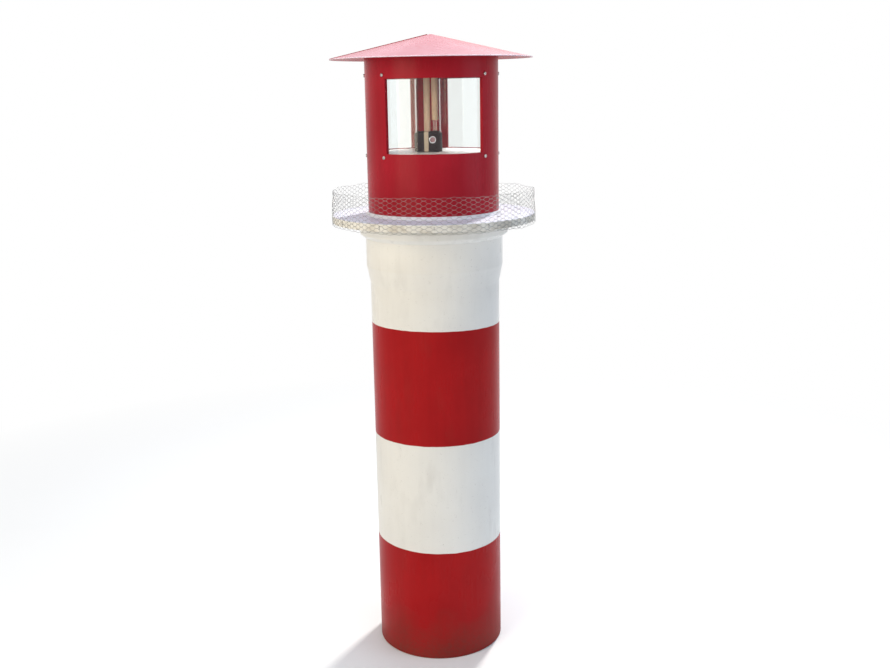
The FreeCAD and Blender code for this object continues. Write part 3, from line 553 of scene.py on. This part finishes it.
def floor_disc(name):
    """The lantern's white floor, dusty."""
    shader = Shader(name)
    dust = shader.patches(55.0, 6.0, 0.45, 0.78, 0.3)
    colour = shader.mix(dust, FLOOR_DISC_WHITE, FLOOR_DISC_DUST)
    normal = shader.bump(shader.noise(380.0, 3.0), 0.1 * MM, 0.6)
    shader.finish(colour, 0.38, normal)
    return shader.material


def frosted(name, colour):
    """Frosted tube that lets its strip shine through faintly."""
    shader = Shader(name)
    haze = shader.noise(160.0, 4.0, (1.0, 1.0, 0.25))
    paler = tuple(min(1.0, part * 1.2) for part in colour)
    mixed = shader.mix(shader.fit(haze, 0.35, 0.7), colour, paler)
    normal = shader.bump(shader.noise(1100.0, 2.0), 0.05 * MM, 0.6)
    shader.finish(mixed, shader.spread(haze, 0.32, 0.5), normal, Transmission_Weight=0.25)
    return shader.material


def rubber(name):
    """Black rubber with a dull bloom."""
    shader = Shader(name)
    bloom = shader.patches(140.0, 5.0, 0.45, 0.75, 0.5)
    colour = shader.mix(bloom, RUBBER_BLACK, RUBBER_BLOOM)
    normal = shader.bump(shader.noise(900.0, 3.0), 0.1 * MM, 0.7)
    shader.finish(colour, shader.fit(bloom, 0.0, 0.5, 0.6, 0.85), normal)
    return shader.material


def circuit_board(name):
    """Green laminate with paler tracks."""
    shader = Shader(name)
    off_track = shader.fit(shader.cells(420.0, "DISTANCE_TO_EDGE"), 0.02, 0.05)
    colour = shader.mix(off_track, TRACK_GREEN, LAMINATE_GREEN)
    normal = shader.bump(off_track, 0.05 * MM, 0.8)
    shader.finish(colour, shader.fit(off_track, 0.0, 1.0, 0.30, 0.45), normal)
    return shader.material


def led_strip(name):
    """Pale strip with a row of yellow diodes."""
    shader = Shader(name)
    turns = shader.math("MULTIPLY", shader.axes(shader.place)[2], 2 * math.pi / DIODE_PITCH)
    wave = shader.math("SINE", turns)
    is_diode = shader.fit(wave, 0.2, 0.3)
    colour = shader.mix(is_diode, LED_STRIP_WHITE, DIODE_YELLOW)
    colour = shader.mix(shader.patches(400.0, 3.0, 0.4, 0.7, 0.2), colour, LED_STRIP_STAIN)
    normal = shader.bump(is_diode, 0.3 * MM, 0.8)
    shader.finish(colour, shader.fit(wave, -1.0, 1.0, 0.5, 0.25), normal)
    return shader.material


def make_materials():
    """Every slot's material, by the slot's name."""
    makers = {
        "tower_paint": tower_paint,
        "lantern_paint": red_paint,
        "roof_paint": roof_paint,
        "bracket_sheet": red_paint,
        "board_paint": board_paint,
        "sealant_white": sealant,
        "galvanised_wire": galvanised,
        "staple_wire": partial(bright_steel, colour=STAPLE_STEEL, low=0.35, high=0.5),
        "screw_steel": partial(bright_steel, colour=SCREW_STEEL, low=0.24, high=0.40),
        "contact_metal": partial(bright_steel, colour=CONTACT_METAL, low=0.18, high=0.34),
        "ring_chrome": partial(bright_steel, colour=CHROME, low=0.06, high=0.16),
        "pane_clear": partial(clear_sheet, tint=PANE_TINT, bend=1.30, dust_share=0.10),
        "lamp_clear": partial(clear_sheet, tint=LAMP_TINT, bend=1.05, dust_share=0.16),
        "floor_plastic": floor_disc,
        "seal_rubber": rubber,
        "foot_rubber": rubber,
        "lamp_plastic": partial(moulded, colour=LAMP_BLACK, low=0.40, high=0.55, gloss=0.15),
        "button_plastic": partial(moulded, colour=BUTTON_PINK),
        "switch_plastic": partial(moulded, colour=SWITCH_BLACK),
        "cell_jacket": partial(moulded, colour=CELL_GREY, low=0.2, high=0.3),
        "circuit_green": circuit_board,
        "tube_frosted": partial(frosted, colour=TUBE_CREAM),
        "led_strip": led_strip,
    }
    return {slot: make(slot) for slot, make in makers.items()}


def dress(materials):
    """Gives each CAD node its slot's material."""
    for entry in frame["record"]["subparts"]:
        piece = nodes[entry["node"]]
        material = materials[entry["material_slot"]]
        if not piece.material_slots:
            piece.data.materials.append(material)
        for slot in piece.material_slots:
            slot.material = material


# ---- Netting ----------------------------------------------------------------

NetBand = namedtuple("NetBand", "radius board_top low high")


def net_band():
    """The board's radius and top, and the heights that the netting's CAD band fills."""
    low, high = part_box("railing_netting")
    board_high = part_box("gallery_board")[1]
    return NetBand(board_high.x, board_high.z, low.z, high.z)


def wander(angle, height, amount, seed):
    """A slow, smooth push, so that no cell is quite like the next."""
    across = math.sin(angle) * WANDER_ROUND + seed
    place = Vector((across, math.cos(angle) * WANDER_ROUND, height * WANDER_RISE))
    return amount * noise.noise(place)


def set_in_place(angle, height, out, band, seed):
    """A point of the flat strip, moved as the strip wanders, waves, sags and leans."""
    rise = max(0.0, (height - band.board_top) / (band.high - band.board_top))
    hang = max(0.0, (band.board_top - height) / (band.board_top - band.low))
    edge_wave = noise.noise(Vector((angle * EDGE_WAVE_ROUND, seed, EDGE_WAVE_SEED)))
    height += wander(angle, height, WANDER_UP, seed)
    height += EDGE_WAVE * (rise ** 4 + hang) * edge_wave
    height -= NET_SAG * rise * max(0.0, math.cos(angle - NET_SAG_AZIMUTH)) ** 2
    out += wander(angle, height, WANDER_OUT, seed + WANDER_OUT_SEED)
    out += WANDER_CLEARANCE - NET_LEAN * rise
    return Vector((out * math.sin(angle), -out * math.cos(angle), height))


def hook(point, ahead, seed):
    """A cut wire end that curls away from the board."""
    size_noise = noise.noise(Vector((seed, point.z * HOOK_SIZE_RISE, HOOK_SIZE_SEED)))
    size = HOOK_SIZE * (1.0 + HOOK_SIZE_SPREAD * size_noise)
    tilt = -HOOK_TILT * math.cos(point.z * HOOK_TILT_RISE)
    outward = Vector((point.x, point.y, tilt)).normalized()
    points = []
    for step in range(1, HOOK_POINTS + 1):
        turn = HOOK_TURN * step / HOOK_POINTS
        points.append(point + size * (math.sin(turn) * ahead + (1 - math.cos(turn)) * outward))
    return points


def wire_line(wire, last_wire, columns, start, first_z, radius, band, seed):
    """The points of one wire: it twists with the wire above, then with the one below."""
    column_angle = 2 * math.pi / NET_COLUMNS
    half_twist = column_angle * NET_TWIST_SHARE / 2
    points = []
    for column in range(columns):
        joins_upper = (wire + column) % 2 == 0
        side = 1.0 if joins_upper else -1.0
        level = wire if joins_upper else wire - 1
        gap = NET_WIRE_R
        if level < 0 or level >= last_wire:
            level = -NET_EDGE_REACH if level < 0 else last_wire - 1 + NET_EDGE_REACH
            gap = 0.0
        for step in range(NET_TWIST_POINTS):
            share = step / (NET_TWIST_POINTS - 1)
            angle = start + column * column_angle + half_twist * (2 * share - 1)
            turn = 2 * math.pi * NET_TWIST_TURNS * share
            height = first_z + NET_LEVEL_STEP * level - side * gap * math.cos(turn)
            out = radius + side * gap * math.sin(turn)
            points.append(set_in_place(angle, height, out, band, seed))
    if columns < NET_COLUMNS:
        first_end = hook(points[0], (points[0] - points[1]).normalized(), seed)
        last_end = hook(points[-1], (points[-1] - points[-2]).normalized(), seed)
        points = first_end[::-1] + points + last_end
    return points


def tube_ring(point, ahead, radius):
    """The corners of a wire's section at a point, square to the way ahead."""
    ahead = ahead.normalized()
    across = ahead.cross(Vector((0, 0, 1))).normalized()
    upward = across.cross(ahead)
    ring = []
    for side in range(NET_SIDES):
        angle = 2 * math.pi * side / NET_SIDES
        ring.append(point + radius * (math.cos(angle) * across + math.sin(angle) * upward))
    return ring


def add_tube(vertices, faces, points, radius, closed):
    """A wire's skin round its line."""
    first = len(vertices)
    count = len(points)
    for index, point in enumerate(points):
        before = points[index - 1] if closed or index else point
        after = points[(index + 1) % count] if closed or index < count - 1 else point
        vertices.extend(tube_ring(point, after - before, radius))
    for index in range(count if closed else count - 1):
        here = first + index * NET_SIDES
        there = first + (index + 1) % count * NET_SIDES
        for side in range(NET_SIDES):
            other = (side + 1) % NET_SIDES
            faces.append((here + side, here + other, there + other, there + side))
    if not closed:
        faces.append(tuple(first + side for side in reversed(range(NET_SIDES))))
        last = first + (count - 1) * NET_SIDES
        faces.append(tuple(last + side for side in range(NET_SIDES)))


def net_piece(name, columns, start, standoff, lift, seed):
    """One strip of netting round the board."""
    band = net_band()
    last_wire = int((band.high - band.low - 2 * NET_WIRE_R) / NET_LEVEL_STEP) + 1
    first_z = band.low + NET_LOWEST + lift
    radius = band.radius + standoff
    vertices, faces = [], []
    for wire in range(last_wire + 1):
        line = wire_line(wire, last_wire, columns, start, first_z, radius, band, seed)
        add_tube(vertices, faces, line, NET_WIRE_R, columns == NET_COLUMNS)
    mesh = bpy.data.meshes.new(name)
    mesh.from_pydata([tuple(vertex) for vertex in vertices], [], faces)
    mesh.update()
    mesh.polygons.foreach_set("use_smooth", [True] * len(mesh.polygons))
    piece = bpy.data.objects.new(name, mesh)
    bpy.context.scene.collection.objects.link(piece)
    return piece


def make_netting(material):
    """The railing: the strip all round, and its end lapped over its start."""
    whole = net_piece("netting_strip", NET_COLUMNS, 0.0, NET_STANDOFF, 0.0, NET_SEED)
    lap_columns = int((OVERLAP_END - OVERLAP_START) / (2 * math.pi / NET_COLUMNS))
    lap_set = (OVERLAP_START, OVERLAP_STANDOFF, OVERLAP_LIFT, OVERLAP_SEED)
    lap = net_piece("netting_lap", lap_columns, *lap_set)
    for piece in (whole, lap):
        piece.data.materials.append(material)
        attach(piece, "lighthouse")
    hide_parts("railing_netting")


# ---- Lamp -------------------------------------------------------------------


def front_strip_sections(shape):
    """The strip's sections, side by side round the lamp's drum."""
    plate_low, plate_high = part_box("lamp_top_plate")
    centre_x = (plate_low.x + plate_high.x) / 2
    drum_r = (plate_high.x - plate_low.x) / 2
    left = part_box("lamp_tube_tall")[0].x
    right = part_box("lamp_button_ring")[0].x - STRIP_BESIDE_RING
    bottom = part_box("lamp_base")[0].z + STRIP_ABOVE_FOOT
    top = plate_high.z
    inner = drum_r + STRIP_LIFT
    outer = inner + STRIP_THICKNESS
    sections = []
    for step in range(STRIP_STEPS + 1):
        across = left + (right - left) * step / STRIP_STEPS - centre_x
        angle = math.asin(across / drum_r)
        section = []
        for radius, z in ((inner, bottom), (outer, bottom), (outer, top), (inner, top)):
            place = (centre_x + radius * math.sin(angle), -radius * math.cos(angle), z)
            section.append(shape.verts.new(place))
        sections.append(section)
    return sections


def make_front_strip(material):
    """A pale strip down the front of the lamp's drum, below its tall tube and beside its button."""
    shape = bmesh.new()
    sections = front_strip_sections(shape)
    for here, there in zip(sections, sections[1:]):
        for side in range(len(here)):
            other = (side + 1) % len(here)
            shape.faces.new((here[side], here[other], there[other], there[side]))
    shape.faces.new(sections[0])
    shape.faces.new(sections[-1][::-1])
    bmesh.ops.recalc_face_normals(shape, faces=shape.faces)
    mesh = bpy.data.meshes.new("lamp_front_strip")
    shape.to_mesh(mesh)
    shape.free()
    mesh.materials.append(material)
    strip = bpy.data.objects.new("lamp_front_strip", mesh)
    bpy.context.scene.collection.objects.link(strip)
    bevel = strip.modifiers.new("rounded", "BEVEL")
    bevel.width = STRIP_ROUNDING
    bevel.segments = 2
    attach(strip, "lighthouse")


# ---- Stage ------------------------------------------------------------------


def make_camera():
    """The photograph's camera, found from the outlines of the pipe."""
    forward = Vector((
        math.sin(CAMERA_TO_RIGHT) * math.cos(CAMERA_DOWN),
        math.cos(CAMERA_TO_RIGHT) * math.cos(CAMERA_DOWN),
        -math.sin(CAMERA_DOWN),
    ))
    level_right = forward.cross(Vector((0, 0, 1))).normalized()
    level_up = level_right.cross(forward)
    right = math.cos(CAMERA_ROLL) * level_right + math.sin(CAMERA_ROLL) * level_up
    upward = -math.sin(CAMERA_ROLL) * level_right + math.cos(CAMERA_ROLL) * level_up
    data = bpy.data.cameras.new("camera")
    data.sensor_fit = "HORIZONTAL"
    data.sensor_width = SENSOR_WIDTH_MM
    data.lens = FOCAL_PIXELS / PHOTO_WIDTH * SENSOR_WIDTH_MM
    camera = bpy.data.objects.new("camera", data)
    bpy.context.scene.collection.objects.link(camera)
    turn = Matrix((right, upward, -forward)).transposed().to_4x4()
    camera.matrix_world = Matrix.Translation(CAMERA_PLACE) @ turn
    bpy.context.scene.camera = camera


def area_light(name, place, aim_z, size, power, colour):
    """A soft box that faces a point on the object's axis."""
    data = bpy.data.lights.new(name, "AREA")
    data.shape = "RECTANGLE"
    data.size, data.size_y = size
    data.energy = power
    data.color = colour
    light = bpy.data.objects.new(name, data)
    bpy.context.scene.collection.objects.link(light)
    aim = (Vector((0, 0, aim_z)) - Vector(place)).to_track_quat("-Z", "Y")
    light.matrix_world = Matrix.Translation(place) @ aim.to_matrix().to_4x4()


def make_lights():
    """A sun behind at the right, a warm box at the left, cool ones at the right, behind and above."""
    for name, settings in LIGHTS.items():
        area_light(name, *settings)


def make_world():
    """Soft light from all round. What looks at it, also in gloss or through a pane, sees white."""
    world = bpy.data.worlds.new("studio")
    bpy.context.scene.world = world
    world.use_nodes = True
    sky = Nodes(world.node_tree)
    ambient = {"Color": rgba(AMBIENT_COLOUR), "Strength": AMBIENT_STRENGTH}
    lighting = sky.add("ShaderNodeBackground", ambient).outputs[0]
    white = sky.add("ShaderNodeBackground", {"Color": rgba(WHITE), "Strength": 1.0}).outputs[0]
    mixed = sky.mix_shaders(sky.sees_background(), lighting, white)
    sky.add("ShaderNodeOutputWorld", {"Surface": mixed})


def make_floor():
    """A pale floor that keeps the shadow and turns white further out."""
    mesh = bpy.data.meshes.new("ground")
    square = [(-1, -1), (1, -1), (1, 1), (-1, 1)]
    mesh.from_pydata([(x * FLOOR_HALF, y * FLOOR_HALF, 0.0) for x, y in square], [], [(0, 1, 2, 3)])
    ground = bpy.data.objects.new("ground", mesh)
    bpy.context.scene.collection.objects.link(ground)
    shader = Shader("ground")
    colour = shader.mix(shader.noise(3.0, 3.0), FLOOR_PALE, FLOOR_DULL)
    surface = shader.finish(colour, FLOOR_ROUGHNESS)
    far = shader.fit(shader.length(shader.place), FLOOR_FADE_NEAR, FLOOR_FADE_FAR)
    fade = shader.math("MULTIPLY", shader.sees_background(), far)
    white = shader.add("ShaderNodeEmission", {"Color": rgba(WHITE), "Strength": 1.0}).outputs[0]
    shader.show(shader.mix_shaders(fade, surface, white))
    mesh.materials.append(shader.material)


materials = make_materials()
make_camera()
dress(materials)
make_netting(materials["galvanised_wire"])
make_front_strip(moulded("strip_plastic", STRIP_CREAM))
make_lights()
make_world()
make_floor()
bpy.context.scene.view_settings.view_transform = "Standard"
